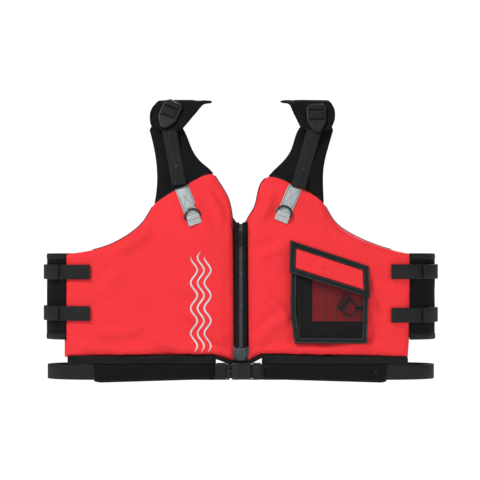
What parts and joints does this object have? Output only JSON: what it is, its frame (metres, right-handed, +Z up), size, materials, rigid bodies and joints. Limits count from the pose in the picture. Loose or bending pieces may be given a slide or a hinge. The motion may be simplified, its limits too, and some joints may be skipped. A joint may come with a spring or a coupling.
{
  "type": "life jacket",
  "caption": "Sleeveless paddling life jacket with a front zip, foam panels, shoulder and side adjusters, a mesh pocket and a buckled waist belt.",
  "frame": {"origin": "middle of the opening that the torso enters by, level with the lowest point of the belt sleeves", "axes": "+X to the wearer's left, -Y to the front, +Z up"},
  "size_m": [0.6792, 0.1872, 0.4897],
  "materials": {
    "red_cloth": "woven nylon",
    "black_cloth": "woven nylon over foam",
    "foam": "closed-cell foam",
    "lining": "woven nylon lining",
    "neoprene": "neoprene with knit faces",
    "webbing": "ribbed polyester webbing",
    "binding": "grosgrain binding tape",
    "reflective": "silver reflective tape",
    "zip_tape": "knitted zip tape",
    "mesh": "open knit mesh",
    "black_plastic": "moulded acetal, satin",
    "zip_plastic": "moulded zip teeth",
    "grey_plastic": "grey film and moulded box",
    "black_metal": "black coated steel wire"
  },
  "bodies": {
    "root": {"back_belt_loops": "webbing", "back_cover": "red_cloth", "back_foam": "foam", "back_hem_binding": "binding", "back_lining": "lining", "female_buckle": "black_plastic", "front_hem_bindings": "binding", "hook_tab": "webbing", "left_back_shoulder": "black_cloth", "left_belt_sleeve": "black_cloth", "left_front_cover": "red_cloth", "left_front_foam": "foam", "left_front_lining": "lining", "left_front_shoulder": "black_cloth", "left_lower_strap": "webbing", "left_pad": "black_cloth", "left_reflective_tape": "reflective", "left_shoulder_webbing": "webbing", "left_side_panel": "neoprene", "left_upper_strap": "webbing", "left_zip_tape": "zip_tape", "left_zip_teeth": "zip_plastic", "male_buckle_webbing": "webbing", "pocket_binding": "binding", "pocket_gusset": "red_cloth", "pocket_mesh": "mesh", "pocket_patch": "black_cloth", "right_back_shoulder": "black_cloth", "right_belt_sleeve": "black_cloth", "right_front_cover": "red_cloth", "right_front_foam": "foam", "right_front_lining": "lining", "right_front_shoulder": "black_cloth", "right_lower_strap": "webbing", "right_pad": "black_cloth", "right_reflective_tape": "reflective", "right_shoulder_webbing": "webbing", "right_side_panel": "neoprene", "right_upper_strap": "webbing", "right_zip_tape": "zip_tape", "right_zip_teeth": "zip_plastic", "shoulder_lock_loops": "webbing", "side_ladder_locks": "black_plastic", "side_lock_loops": "webbing", "waist_belt": "webbing", "zip_box": "grey_plastic", "zip_guard": "lining"},
    "zip_slider": {"zip_slider": "black_metal"},
    "zip_pull": {"zip_pull": "black_metal"},
    "male_buckle": {"male_buckle": "black_plastic"},
    "upper_prong": {"upper_prong": "black_plastic"},
    "lower_prong": {"lower_prong": "black_plastic"},
    "right_d_ring": {"right_d_ring": "black_metal"},
    "left_d_ring": {"left_d_ring": "black_metal"},
    "right_ladder_lock": {"right_ladder_lock": "black_plastic"},
    "left_ladder_lock": {"left_ladder_lock": "black_plastic"},
    "pocket_flap": {"pocket_flap": "red_cloth", "flap_binding": "binding"},
    "snap_hook": {"snap_hook": "black_plastic"},
    "snap_hook_gate": {"snap_hook_gate": "black_plastic"}
  },
  "joints": [
    {"name": "zip_slide", "type": "slide", "parent": "root", "child": "zip_slider", "axis": [0, 0, -1], "range_m": [0, 0.175]},
    {"name": "zip_pull_swing", "type": "hinge", "parent": "zip_slider", "child": "zip_pull", "pos_m": [0, -0.0838, 0.25], "axis": [-1, 0, 0], "range_deg": [0, 150]},
    {"name": "buckle_release", "type": "slide", "parent": "root", "child": "male_buckle", "axis": [-1, 0, 0], "range_m": [0, 0.03], "deforming": ["male_buckle_webbing"]},
    {"name": "upper_prong_squeeze", "type": "hinge", "parent": "male_buckle", "child": "upper_prong", "pos_m": [-0.0168, -0.0887, 0.029], "axis": [0, 1, 0], "range_deg": [0, 7], "stiffness_Nm_per_rad": 0.4},
    {"name": "lower_prong_squeeze", "type": "hinge", "parent": "male_buckle", "child": "lower_prong", "pos_m": [-0.0168, -0.0887, 0.011], "axis": [0, -1, 0], "range_deg": [0, 7], "stiffness_Nm_per_rad": 0.4},
    {"name": "right_d_ring_swing", "type": "hinge", "parent": "root", "child": "right_d_ring", "pos_m": [-0.08154, -0.08099, 0.2829], "axis": [0.937, 0.0714, 0.342], "range_deg": [0, 120]},
    {"name": "left_d_ring_swing", "type": "hinge", "parent": "root", "child": "left_d_ring", "pos_m": [0.07305, -0.07999, 0.28771], "axis": [0.9213, -0.0794, -0.3806], "range_deg": [0, 120]},
    {"name": "right_ladder_lock_tilt", "type": "hinge", "parent": "root", "child": "right_ladder_lock", "pos_m": [-0.1165, -0.02596, 0.4748], "axis": [-0.9272, 0.1491, 0.3436], "range_deg": [0, 35]},
    {"name": "left_ladder_lock_tilt", "type": "hinge", "parent": "root", "child": "left_ladder_lock", "pos_m": [0.1295, -0.0277, 0.4708], "axis": [-0.9998, -0.0069, -0.016], "range_deg": [0, 35]},
    {"name": "pocket_flap_lift", "type": "hinge", "parent": "root", "child": "pocket_flap", "pos_m": [0.08419, -0.08714, 0.24257], "axis": [-0.9497, 0, 0.313], "range_deg": [0, 110]},
    {"name": "snap_hook_swing", "type": "hinge", "parent": "root", "child": "snap_hook", "pos_m": [0.197, -0.0883, 0.127], "axis": [0, 1, 0], "range_deg": [-8, 8]},
    {"name": "snap_hook_gate_swing", "type": "hinge", "parent": "snap_hook", "child": "snap_hook_gate", "pos_m": [0.17465, -0.0883, 0.14487], "axis": [0, -1, 0], "range_deg": [0, 15], "stiffness_Nm_per_rad": 0.02}
  ],
  "couplings": [
    {"joint": "lower_prong_squeeze", "follows": "upper_prong_squeeze", "ratio": 1}
  ]
}
